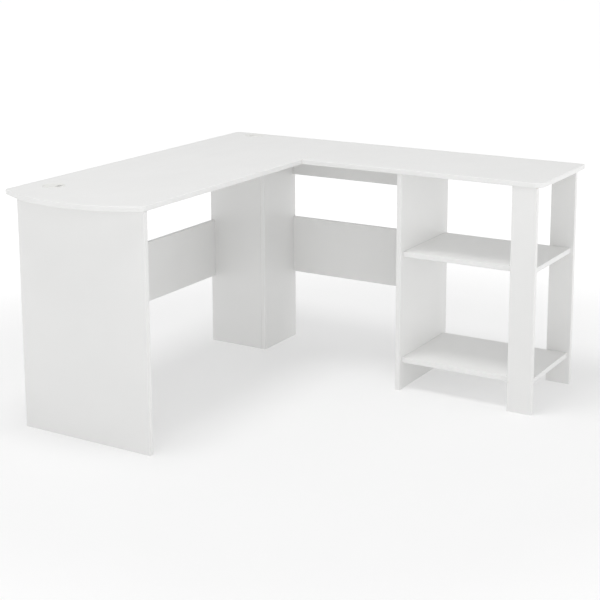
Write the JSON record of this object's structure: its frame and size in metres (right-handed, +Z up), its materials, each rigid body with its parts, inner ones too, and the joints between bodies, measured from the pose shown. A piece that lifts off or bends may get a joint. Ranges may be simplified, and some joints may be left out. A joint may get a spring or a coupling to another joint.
{
  "type": "corner desk",
  "caption": "L-shaped flat-pack desk in white melamine board with a bowed end, a square corner post, modesty panels, cable grommets and an open shelf unit.",
  "frame": {"origin": "on the floor, under the centre of the desk's bounding box", "axes": "+X along the return from the wall corner to the shelf end, +Y from the room to the wall behind the return, +Z up"},
  "size_m": [1.32, 1.29, 0.7215],
  "materials": {
    "melamine_board": "satin",
    "grommet_plastic": "satin",
    "cam_zinc": "satin",
    "fastener_steel": "satin"
  },
  "bodies": {
    "desk_frame": {"corner_grommet_sleeve": "grommet_plastic", "corner_lower_bolt": "fastener_steel", "corner_lower_cam": "cam_zinc", "corner_panel_left": "melamine_board", "corner_panel_right": "melamine_board", "corner_top_bolt": "fastener_steel", "corner_top_cam": "cam_zinc", "corner_upper_bolt": "fastener_steel", "corner_upper_cam": "cam_zinc", "divider_modesty_bolt": "fastener_steel", "divider_modesty_cam": "cam_zinc", "divider_panel": "melamine_board", "divider_rail_bolt": "fastener_steel", "divider_rail_cam": "cam_zinc", "divider_top_bolt": "fastener_steel", "divider_top_cam": "cam_zinc", "end_grommet_sleeve": "grommet_plastic", "end_modesty_bolt": "fastener_steel", "end_modesty_cam": "cam_zinc", "end_panel": "melamine_board", "end_rail_bolt": "fastener_steel", "end_rail_cam": "cam_zinc", "end_top_bolt": "fastener_steel", "end_top_cam": "cam_zinc", "front_leg_board": "melamine_board", "joining_plate": "fastener_steel", "leg_top_bolt": "fastener_steel", "leg_top_cam": "cam_zinc", "lower_front_bolt": "fastener_steel", "lower_front_cam": "cam_zinc", "lower_rear_bolt": "fastener_steel", "lower_rear_cam": "cam_zinc", "lower_shelf": "melamine_board", "lower_shelf_front_screw": "fastener_steel", "lower_shelf_rear_screw": "fastener_steel", "main_back_rail": "melamine_board", "main_modesty_panel": "melamine_board", "main_modesty_screw": "fastener_steel", "main_rail_screw": "fastener_steel", "main_top": "melamine_board", "plate_main_screw_1": "fastener_steel", "plate_main_screw_2": "fastener_steel", "plate_return_screw_1": "fastener_steel", "plate_return_screw_2": "fastener_steel", "rear_leg_board": "melamine_board", "return_back_rail": "melamine_board", "return_modesty_panel": "melamine_board", "return_modesty_screw": "fastener_steel", "return_rail_screw": "fastener_steel", "return_top": "melamine_board", "upper_front_bolt": "fastener_steel", "upper_front_cam": "cam_zinc", "upper_rear_bolt": "fastener_steel", "upper_rear_cam": "cam_zinc", "upper_shelf": "melamine_board", "upper_shelf_front_screw": "fastener_steel", "upper_shelf_rear_screw": "fastener_steel"},
    "end_cap": {"end_grommet_cap": "grommet_plastic"},
    "corner_cap": {"corner_grommet_cap": "grommet_plastic"}
  },
  "joints": [
    {"name": "end_cap_turn", "type": "hinge", "parent": "desk_frame", "child": "end_cap", "pos_m": [-0.568, -0.47, 0.72], "axis": [0, 0, 1], "continuous": true},
    {"name": "corner_cap_turn", "type": "hinge", "parent": "desk_frame", "child": "corner_cap", "pos_m": [-0.56, 0.6, 0.72], "axis": [0, 0, 1], "continuous": true}
  ]
}
